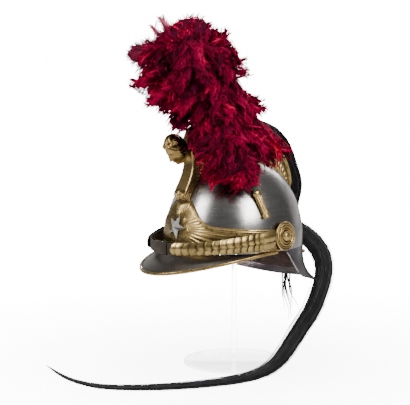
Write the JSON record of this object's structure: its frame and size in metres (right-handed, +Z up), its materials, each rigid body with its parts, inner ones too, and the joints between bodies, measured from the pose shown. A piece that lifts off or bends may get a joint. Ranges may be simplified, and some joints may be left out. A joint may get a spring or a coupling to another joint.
{
  "type": "crested cavalry helmet with feather plume, horsehair mane and display stand",
  "caption": "Crested steel and brass cavalry helmet with a crimson feather plume, a long black horsehair mane and scale chin straps, on a clear acrylic stand.",
  "frame": {"origin": "centre of the underside of the stand's base disc", "axes": "+Z up along the stand's post, -Y towards the front of the helmet, +X towards the wearer's left"},
  "size_m": [0.2937, 0.4407, 0.5414],
  "materials": {
    "steel": "satin",
    "dark_steel": "satin",
    "brass": "satin",
    "silver": "satin",
    "leather": "matte",
    "lining_leather": "matte",
    "horsehair": "satin",
    "feathers": "matte",
    "knob": "matte",
    "acrylic": "polished"
  },
  "bodies": {
    "root": {"skull": "steel", "stand_base": "acrylic", "stand_post": "acrylic", "stand_cap": "acrylic", "peak": "dark_steel", "peak_binding": "brass", "neck_guard": "steel", "neck_guard_lining": "lining_leather", "neck_guard_stud_left": "brass", "neck_guard_stud_right": "brass", "crest_shell": "brass", "crest_front_plate": "brass", "crest_mask": "brass", "front_plate": "brass", "star": "silver", "chin_strap": "leather", "strap_keeper": "leather", "chin_scale_left_01": "brass", "chin_scale_left_02": "brass", "chin_scale_left_03": "brass", "chin_scale_left_04": "brass", "chin_scale_left_05": "brass", "chin_scale_left_06": "brass", "chin_scale_left_07": "brass", "chin_scale_left_08": "brass", "chin_scale_left_09": "brass", "chin_scale_left_10": "brass", "chin_scale_left_11": "brass", "chin_scale_left_12": "brass", "chin_scale_left_13": "brass", "chin_link_left": "brass", "chin_scale_right_01": "brass", "chin_scale_right_02": "brass", "chin_scale_right_03": "brass", "chin_scale_right_04": "brass", "chin_scale_right_05": "brass", "chin_scale_right_06": "brass", "chin_scale_right_07": "brass", "chin_scale_right_08": "brass", "chin_scale_right_09": "brass", "chin_scale_right_10": "brass", "chin_link_right": "brass", "rosette_left": "brass", "rosette_right": "brass", "plume_socket": "brass", "plume_knob": "knob", "plume": "feathers", "mane": "horsehair"}
  },
  "joints": []
}
